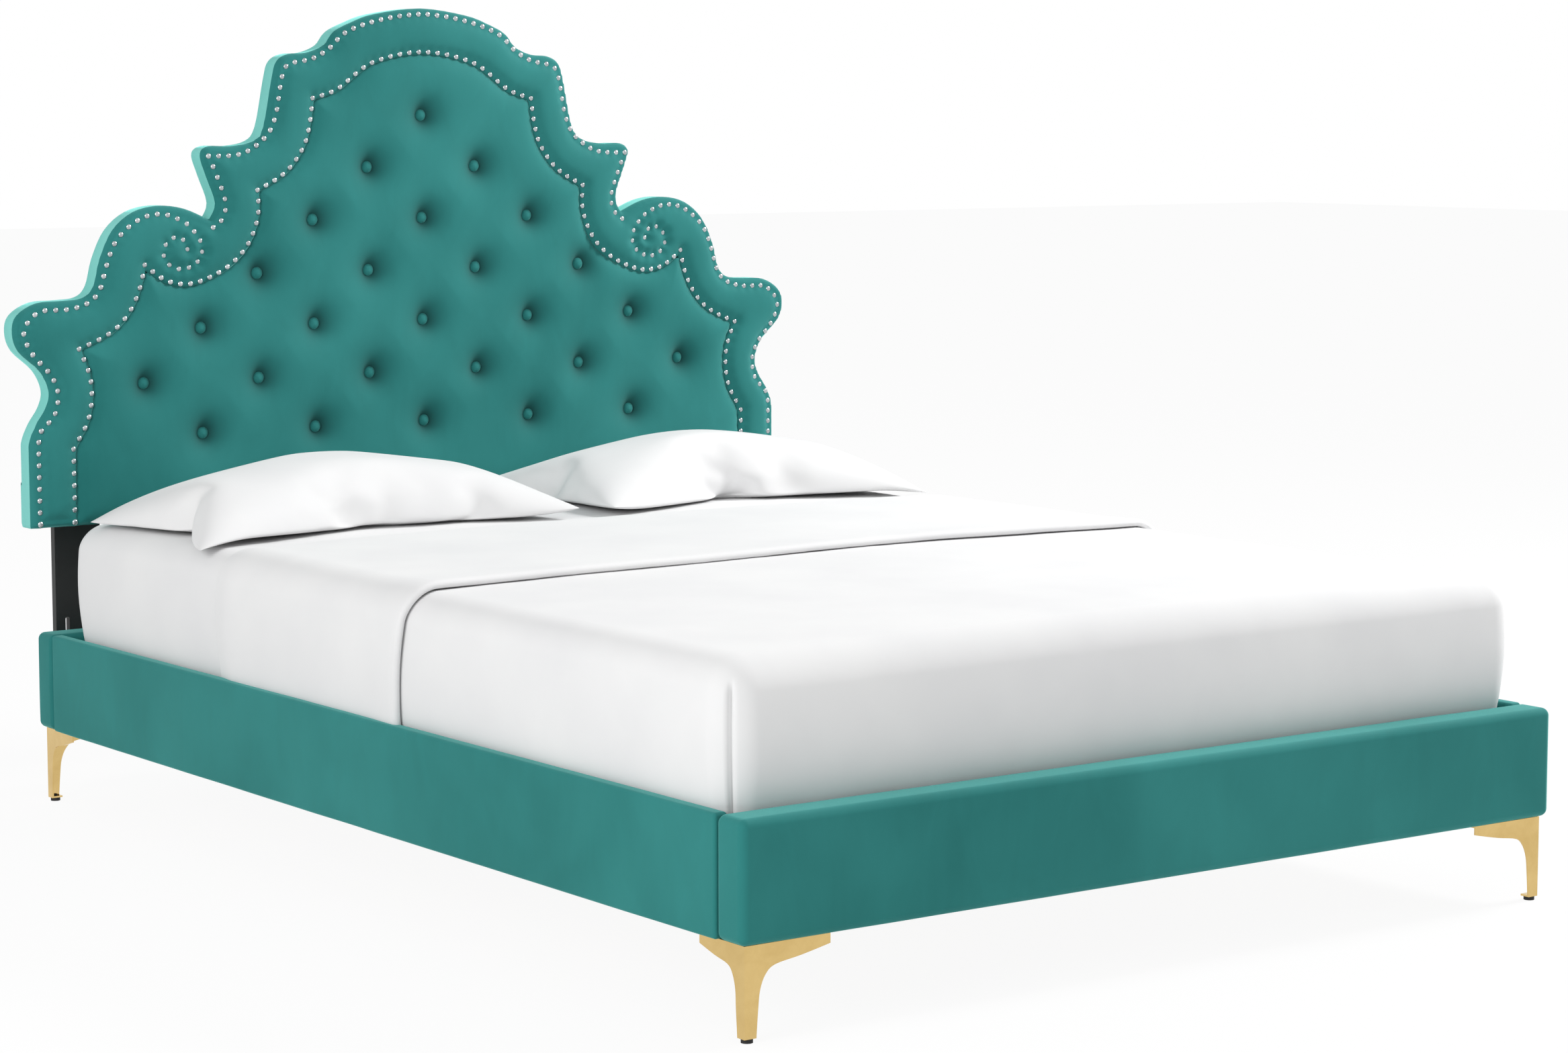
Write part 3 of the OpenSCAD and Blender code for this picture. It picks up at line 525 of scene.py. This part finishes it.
def panel_height(p):
    """How far the tufted panel's velvet stands in front of the nailheads."""
    from_seam, _ = distance_to_loop(p, SEAM)
    near_nail = nearest_of(p, NAILS["nailheads_inner"])
    near_tuft = nearest_of(p, TUFTS)
    height = -4 * MM + (PUFF + 4 * MM) * (1 - np.exp(-np.clip(from_seam, 0, None) / (15 * MM)))
    pull = np.exp(-(near_nail / (9 * MM)) ** 2)
    height = height * (1 - pull) + 0.2 * MM * pull
    depth = BUTTON_BASE - FACE_Y + PUFF - 0.5 * MM
    away = np.clip(near_tuft - 0.8 * BUTTON_R, 0, None)
    height -= depth * np.exp(-(away / (26 * MM)) ** 1.15)
    return height + 0.7 * MM * ripple(np.stack([p[:, 0], 0 * p[:, 0], p[:, 1]], 1), 11.0, 3.0)


def headboard_piece(name, loop, hole, height, rings, step=4 * MM):
    flat, faces = trimmed_grid(loop, hole, step)
    front = FACE_Y - height(flat)
    points = np.stack([flat[:, 0], front, flat[:, 1]], axis=1)
    verts, quads = with_walls(points, faces, rings)
    obj = mesh_object(name, verts, quads, "velvet")
    # Painted shade for the velvet: strongest at each button, fading out over the dimple's walls.
    near = nearest_of(np.array(verts)[:, [0, 2]], TUFTS)
    button_painted_shade = 0.85 * np.exp(-(np.clip(near - BUTTON_R, 0, None) / (17 * MM)) ** 1.2)
    obj.data.attributes.new("button_painted_shade", "FLOAT", "POINT").data.foreach_set("value", button_painted_shade)
    return obj


def border_rings(p):
    """Edge points of the border: the rim runs back round the board, and the seam turns down into the valley."""
    flat = p[:, [0, 2]]
    rim_gap, seam_gap = (np.abs(distance_to_loop(flat, loop)[0]) for loop in (RIM, SEAM))
    at_rim = rim_gap < seam_gap
    along = np.roll(RIM, -1, axis=0) - np.roll(RIM, 1, axis=0)
    area = (RIM[:, 0] * np.roll(RIM[:, 1], -1) - np.roll(RIM[:, 0], -1) * RIM[:, 1]).sum()
    inward = np.stack([-along[:, 1], along[:, 0]], axis=1) * (1 if area > 0 else -1)
    inward /= np.linalg.norm(inward, axis=1)[:, None]
    closest = np.array([np.argmin(((RIM - q) ** 2).sum(axis=1)) for q in flat])
    rings = []
    for inset, y in ((0, FACE_Y + 18 * MM), (0, FACE_Y + 30 * MM), (0, BACK_Y - 5 * MM),
                     (1.2 * MM, BACK_Y - 1.6 * MM), (4 * MM, BACK_Y + 0.2 * MM), (9 * MM, BACK_Y + 0.3 * MM)):
        to = flat + inward[closest] * inset
        depth = np.where(at_rim, y, FACE_Y + 9 * MM)
        rings.append(np.stack([np.where(at_rim, to[:, 0], p[:, 0]), depth, np.where(at_rim, to[:, 1], p[:, 2])], 1))
    return rings


def panel_rings(p):
    return [np.stack([p[:, 0], np.full(len(p), FACE_Y + 9 * MM), p[:, 2]], 1)]


border = headboard_piece("headboard_border", RIM, SEAM, border_height, border_rings)
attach(border, "frame")
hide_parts("headboard_border_pad", "headboard_edge_band")
# Painted light: the border's side faces take the paler velvet copy, lighter because of how light falls on them.
border.data.materials.append(FINISH["velvet_light"])
for face in border.data.polygons:
    if abs(face.normal.y) < 0.6 and face.center.y > FACE_Y + RIM_ROUND + 1 * MM:
        face.material_index = 1

panel = headboard_piece("headboard_panel", SEAM, None, panel_height, panel_rings)
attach(panel, "frame")
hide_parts("headboard_tufted_panel")


def dome(radius, height, rings, sides):
    """Points and faces of a dome on the XZ plane that swells towards -Y, with a small rolled rim."""
    points, faces = [(0.0, -height, 0.0)], []
    for r in range(1, rings + 1):
        a = math.pi / 2 * r / rings
        for s in range(sides):
            t = 2 * math.pi * s / sides
            points.append((radius * math.sin(a) * math.cos(t), -height * math.cos(a), radius * math.sin(a) * math.sin(t)))
    for s in range(sides):
        points.append((0.97 * radius * math.cos(2 * math.pi * s / sides), 0.4 * MM,
                       0.97 * radius * math.sin(2 * math.pi * s / sides)))
    rings += 1
    for s in range(sides):
        faces.append((0, 1 + s, 1 + (s + 1) % sides))
    for r in range(rings - 1):
        for s in range(sides):
            a, b = 1 + r * sides + s, 1 + r * sides + (s + 1) % sides
            faces.append((b, a, a + sides, b + sides))
    faces.append(tuple(1 + (rings - 1) * sides + s for s in range(sides)))
    return np.array(points), faces


for node in NAIL_NODES:
    low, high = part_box(node)
    lowest = NAILS[node][:, 2].min()
    shape, shape_faces = dome(lowest - low.z, high.y - low.y, 5, 16)
    verts, faces = [], []
    for centre in NAILS[node]:
        faces += [tuple(i + len(verts) for i in f) for f in shape_faces]
        verts += [tuple(q) for q in shape + np.array((centre[0], high.y, centre[2]))]
    nails = mesh_object(node + "_domes", verts, faces, "nail_chrome")
    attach(nails, "frame")
    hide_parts(node)


# --- Rails ------------------------------------------------------------------------------------------------------

def padded_rail(name, node, also, radius, step, crown):
    """A velvet-covered rail: a rounded box whose long faces swell a little between their edges."""
    low, high = (np.array(c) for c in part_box(node))
    points, normals, faces = rounded_box(low + crown, high - crown, radius, step)
    middle, half = (low + high) / 2, (high - low) / 2
    inside = np.clip(1 - np.abs((points - middle) / half) ** 4, 0, 1)
    swell = np.sort(inside, axis=1)[:, 1]
    points = points + normals * (crown * (0.35 + 0.65 * swell) + 0.35 * MM * ripple(points, 9.0, 5.0))[:, None]
    obj = mesh_object(name, points, faces, "velvet")
    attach(obj, "frame")
    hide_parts(node, *also)
    return obj


padded_rail("foot_rail", "foot_rail_cover", ["foot_rail_foam"], 12 * MM, 22 * MM, 1.2 * MM)
padded_rail("head_rail", "head_rail_cover", ["head_rail_foam"], 12 * MM, 22 * MM, 1.2 * MM)
padded_rail("side_rail_left", "side_rail_cover_left", [], 5 * MM, 22 * MM, 0.8 * MM)
padded_rail("side_rail_right", "side_rail_cover_right", [], 5 * MM, 22 * MM, 0.8 * MM)


# --- Bedding ----------------------------------------------------------------------------------------------------

MAT_LOW, MAT_HIGH = (np.array(c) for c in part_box("mattress"))
RAIL_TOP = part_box("side_rail_cover_left")[1].z
EDGE_R = 46 * MM


def bulged(points, normals, grow):
    """The mattress's surface grown by grow: sides swelling over the rails, a slight crown, and the tucked folds
    of the foot's two corners."""
    over = np.clip((points[:, 2] - RAIL_TOP) / (MAT_HIGH[2] - RAIL_TOP), 0, 1)
    flat = normals.copy()
    flat[:, 2] = 0
    out = points + normals * np.broadcast_to(grow, len(points))[:, None]
    out = out + flat * (9 * MM * np.sin(math.pi * over) ** 0.9)[:, None]
    turn = np.degrees(np.arctan2(-normals[:, 1], np.abs(normals[:, 0])))
    fold = np.exp(-((turn - 45) / 3.4) ** 2) * smoothstep((MAT_HIGH[2] - 24 * MM - points[:, 2]) / (26 * MM))
    fold = fold * (normals[:, 1] < -0.02)
    out -= flat * (10 * MM * fold)[:, None]
    share = 1 - np.clip(np.abs(points[:, 0]) / MAT_HIGH[0], 0, 1) ** 2
    out[:, 2] += 7 * MM * share * np.clip(normals[:, 2], 0, 1)
    return out


def mattress_shell(step, bend):
    return rounded_box(MAT_LOW, MAT_HIGH, EDGE_R, step, bend)


points, normals, faces = mattress_shell(40 * MM, 5)
mattress = mesh_object("mattress_ticking", bulged(points, normals, -2 * MM), faces, "mattress_knit")
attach(mattress, "mattress")
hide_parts("mattress")

points, normals, faces = mattress_shell(18 * MM, 8)
keep = points[faces].mean(axis=1)[:, 2] > MAT_LOW[2] + 14 * MM
used, faces = keep_faces(points, faces, keep)
points, normals = points[used], normals[used]
wrinkle = 0.9 * MM * ripple(points, 7.0, 11.0) + 0.5 * MM * ripple(points * (1, 1, 0.4), 26.0, 17.0)
fitted = mesh_object("fitted_sheet_cloth", bulged(points, normals, 1.2 * MM + wrinkle), faces, "sheet_cotton")
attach(fitted, "mattress")
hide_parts("fitted_sheet")

HEM_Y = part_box("top_sheet")[0].y + 0.853
FOLD_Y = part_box("top_sheet")[1].y
SHEET_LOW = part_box("top_sheet")[0].z


def hem_line(x, z):
    """Where the turned-down hem lies along the bed: it wanders a little, and leans back down the sides."""
    drop = np.clip(MAT_HIGH[2] - z, 0, 1)
    return HEM_Y + 9 * MM * np.sin(x * 4.1 + 0.6) + 5 * MM * np.sin(x * 9.3) + 0.16 * drop


def top_sheet_cloth():
    """The top sheet from the foot to its fold, and its turned-down part with a soft rolled hem."""
    points, normals, faces = mattress_shell(16 * MM, 12)
    centre = points[faces].mean(axis=1)
    lower = (centre[:, 2] > SHEET_LOW) & (centre[:, 1] < FOLD_Y) & (centre[:, 1] < MAT_HIGH[1] - EDGE_R)
    used, low_faces = keep_faces(points, faces, lower)
    p, n = points[used], normals[used]
    wave = 0.8 * MM * ripple(p, 6.0, 23.0) + 0.5 * MM * ripple(p, 22.0, 29.0)
    low_points = bulged(p, n, 3.0 * MM + wave)
    upper = (centre[:, 2] > SHEET_LOW) & (centre[:, 1] > HEM_Y - 0.02) & (centre[:, 1] < FOLD_Y)
    used, up_faces = keep_faces(points, faces, upper)
    p, n = points[used].copy(), normals[used]
    near = 1 - smoothstep((p[:, 1] - (HEM_Y - 0.02)) / 0.14)
    first = p[:, 1].min()
    shift = hem_line(p[:, 0], p[:, 2]) - first
    p[:, 1] += near * shift
    wave = 1.4 * MM * ripple(p, 5.0, 31.0) + 0.5 * MM * ripple(p, 20.0, 37.0)
    lift = 11 * MM + 4 * MM * near
    tail = smoothstep((p[:, 1] - (FOLD_Y - 0.05)) / 0.05)
    up_points = bulged(p, n, (3.0 * MM + lift * (1 - 0.55 * tail)) + wave)
    foot_edge = {i for i in range(len(p)) if points[used][i][1] < first + 1e-6}
    verts = list(map(tuple, low_points)) + list(map(tuple, up_points))
    base = len(low_points)
    quads = [tuple(f) for f in low_faces] + [tuple(i + base for i in f) for f in up_faces]
    roll = [(-4.5, -1.2), (-7.5, -4.0), (-8.5, -7.5), (-7.0, -11.0), (-2.0, -13.2), (6.0, -13.6)]
    ring = {}
    for i in sorted(foot_edge):
        ring[i] = [base + i]
        for dy, dn in roll:
            q = up_points[i] + n[i] * dn * MM + np.array((0, dy * MM, 0))
            ring[i].append(len(verts))
            verts.append(tuple(q))
    for a, b in boundary_edges(up_faces):
        if a in foot_edge and b in foot_edge:
            for k in range(len(roll)):
                quads.append((ring[b][k], ring[a][k], ring[a][k + 1], ring[b][k + 1]))
    return mesh_object("top_sheet_cloth", verts, quads, "sheet_cotton")


sheet = top_sheet_cloth()
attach(sheet, "mattress")
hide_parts("top_sheet")


def pillow(name, node, seed):
    """A stuffed pillow: two rectangles of cloth sewn round the edge and blown up by a cloth simulation."""
    low, high = (np.array(c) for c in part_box(node))
    width, depth, thick = high - low
    nx, ny = 56, 38
    flat_w, flat_d = width * 1.09, depth * 1.12
    verts, faces, index = [], [], {}
    for side in (1, -1):
        for i in range(nx + 1):
            for j in range(ny + 1):
                rim = i in (0, nx) or j in (0, ny)
                if rim and side < 0:
                    index[(side, i, j)] = index[(1, i, j)]
                    continue
                u, v = 2 * i / nx - 1, 2 * j / ny - 1
                rise = 0.0 if rim else 0.12 * thick * (1 - u ** 4) * (1 - v ** 4)
                index[(side, i, j)] = len(verts)
                verts.append((u * flat_w / 2, v * flat_d / 2, side * rise))
    for side in (1, -1):
        for i in range(nx):
            for j in range(ny):
                quad = [index[(side, i, j)], index[(side, i + 1, j)], index[(side, i + 1, j + 1)],
                        index[(side, i, j + 1)]]
                faces.append(quad if side > 0 else quad[::-1])
    obj = mesh_object(name, verts, faces, "sheet_cotton")
    for v in obj.data.vertices:
        v.co.z += 0.6 * MM * noise.noise(v.co * 30 + Vector((seed, 0, 0)))
    cloth = obj.modifiers.new("cloth", "CLOTH")
    cloth.settings.quality = 5
    cloth.settings.mass = 0.25
    cloth.settings.tension_stiffness = 25
    cloth.settings.compression_stiffness = 25
    cloth.settings.shear_stiffness = 8
    cloth.settings.bending_stiffness = 0.6
    cloth.settings.use_pressure = True
    cloth.settings.uniform_pressure_force = 4.0
    cloth.settings.effector_weights.gravity = 0.0
    cloth.point_cache.frame_start = 1
    cloth.point_cache.frame_end = 26
    for f in range(1, 27):
        SCENE.frame_set(f)
    graph = bpy.context.evaluated_depsgraph_get()
    shaped = bpy.data.meshes.new_from_object(obj.evaluated_get(graph))
    obj.modifiers.clear()
    obj.data = shaped
    SCENE.frame_set(1)
    co = np.array([v.co for v in obj.data.vertices])
    span = np.ptp(co, axis=0)
    co *= np.array((width * 1.03, depth * 1.02, thick * 1.18)) / span
    return obj, co, low, high


def settle_pillow(obj, co, low, high, side):
    """Lays a pillow on the bed: flat below, its outer corners drooping over the mattress's edge."""
    thick = high[2] - low[2]
    below = co[:, 2] < 0
    co[below, 2] *= 0.14
    co[:, 2] += -co[:, 2].min()
    co[:, 2] *= thick / co[:, 2].max()
    middle = (low + high) / 2
    co[:, 0] += middle[0] + side * 14 * MM
    co[:, 1] += middle[1]
    co[:, 2] += low[2] + 1 * MM
    reach = np.clip((side * co[:, 0] - 0.66) / 0.14, 0, 1)
    co[:, 2] -= 0.022 * reach ** 2
    inner = np.clip((0.14 - side * co[:, 0]) / 0.14, 0, 1)
    co[:, 2] += 0.012 * inner ** 2
    for v, p in zip(obj.data.vertices, co):
        v.co = p
    obj.data.polygons.foreach_set("use_smooth", [True] * len(obj.data.polygons))
    relax = obj.modifiers.new("relax", "SMOOTH")
    relax.factor = 0.5
    relax.iterations = 9
    sub = obj.modifiers.new("soft", "SUBSURF")
    sub.levels = sub.render_levels = 1
    graph = bpy.context.evaluated_depsgraph_get()
    obj.data = bpy.data.meshes.new_from_object(obj.evaluated_get(graph))
    obj.modifiers.clear()


for side, word in ((-1, "left"), (1, "right")):
    node = "pillow_" + word
    obj, co, low, high = pillow(node + "_case", node, 40.0 + side)
    settle_pillow(obj, co, low, high, side)
    obj.data.materials.clear()
    obj.data.materials.append(FINISH["sheet_cotton"])
    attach(obj, node)
    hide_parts(node)


# --- Floor, light and camera ------------------------------------------------------------------------------------

def stage_floor():
    data = bpy.data.meshes.new("floor")
    data.from_pydata([(-30, -30, 0), (30, -30, 0), (30, 30, 0), (-30, 30, 0)], [], [(0, 1, 2, 3)])
    obj = bpy.data.objects.new("floor", data)
    SCENE.collection.objects.link(obj)
    mat = bpy.data.materials.new("floor")
    mat.use_nodes = True
    nt = mat.node_tree
    bsdf = nt.nodes["Principled BSDF"]
    bsdf.inputs["Base Color"].default_value = (0.86, 0.86, 0.86, 1)
    bsdf.inputs["Roughness"].default_value = 0.9
    bsdf.inputs["Specular IOR Level"].default_value = 0.1
    glow = nt.nodes.new("ShaderNodeEmission")
    path = nt.nodes.new("ShaderNodeLightPath")
    seen = nt.nodes.new("ShaderNodeMath")
    seen.operation = "MAXIMUM"
    share = nt.nodes.new("ShaderNodeMath")
    share.operation = "MULTIPLY"
    share.inputs[1].default_value = 0.93
    mix = nt.nodes.new("ShaderNodeMixShader")
    nt.links.new(path.outputs["Is Camera Ray"], seen.inputs[0])
    nt.links.new(path.outputs["Is Glossy Ray"], seen.inputs[1])
    nt.links.new(seen.outputs[0], share.inputs[0])
    nt.links.new(share.outputs[0], mix.inputs[0])
    nt.links.new(bsdf.outputs[0], mix.inputs[1])
    nt.links.new(glow.outputs[0], mix.inputs[2])
    nt.links.new(mix.outputs[0], nt.nodes["Material Output"].inputs["Surface"])
    data.materials.append(mat)


def world_light(strength):
    """An even pale sky that the camera and reflections see as white."""
    world = bpy.data.worlds.new("studio")
    SCENE.world = world
    world.use_nodes = True
    nt = world.node_tree
    back = nt.nodes["Background"]
    back.inputs["Color"].default_value = (1, 1, 1, 1)
    path = nt.nodes.new("ShaderNodeLightPath")
    seen = nt.nodes.new("ShaderNodeMath")
    seen.operation = "MAXIMUM"
    level = nt.nodes.new("ShaderNodeMapRange")
    level.inputs["To Min"].default_value = strength
    level.inputs["To Max"].default_value = 1.0
    nt.links.new(path.outputs["Is Camera Ray"], seen.inputs[0])
    nt.links.new(path.outputs["Is Glossy Ray"], seen.inputs[1])
    nt.links.new(seen.outputs[0], level.inputs["Value"])
    nt.links.new(level.outputs[0], back.inputs["Strength"])


def area_light(name, place, target, size, power):
    data = bpy.data.lights.new(name, "AREA")
    data.shape = "DISK"
    data.size = size
    data.energy = power
    obj = bpy.data.objects.new(name, data)
    obj.location = place
    obj.rotation_euler = (Vector(target) - Vector(place)).to_track_quat("-Z", "Y").to_euler()
    SCENE.collection.objects.link(obj)


stage_floor()
world_light(0.55)
area_light("key", (4.4, -1.0, 4.0), (0, 0.6, 0.5), 1.6, 285)
area_light("fill", (-5.2, -2.0, 2.6), (0, 0, 0.5), 3.0, 145)


def set_camera():
    """The camera stands off the foot's left-hand corner, a little above the headboard's crest, without shift."""
    foot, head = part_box("foot_rail_cover"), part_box("head_rail_cover")
    middle_y = (foot[0].y + head[1].y) / 2
    azimuth, down = math.radians(36.145), math.radians(6.53)
    data = bpy.data.cameras.new("camera")
    data.sensor_width = 36.0
    data.lens = 84.72
    obj = bpy.data.objects.new("camera", data)
    obj.location = (-3.608, middle_y - 5.058, 1.2624)
    ahead = Vector((math.sin(azimuth) * math.cos(down), math.cos(azimuth) * math.cos(down), -math.sin(down)))
    obj.rotation_euler = ahead.to_track_quat("-Z", "Y").to_euler()
    SCENE.collection.objects.link(obj)
    SCENE.camera = obj


set_camera()
SCENE.view_settings.view_transform = "Standard"
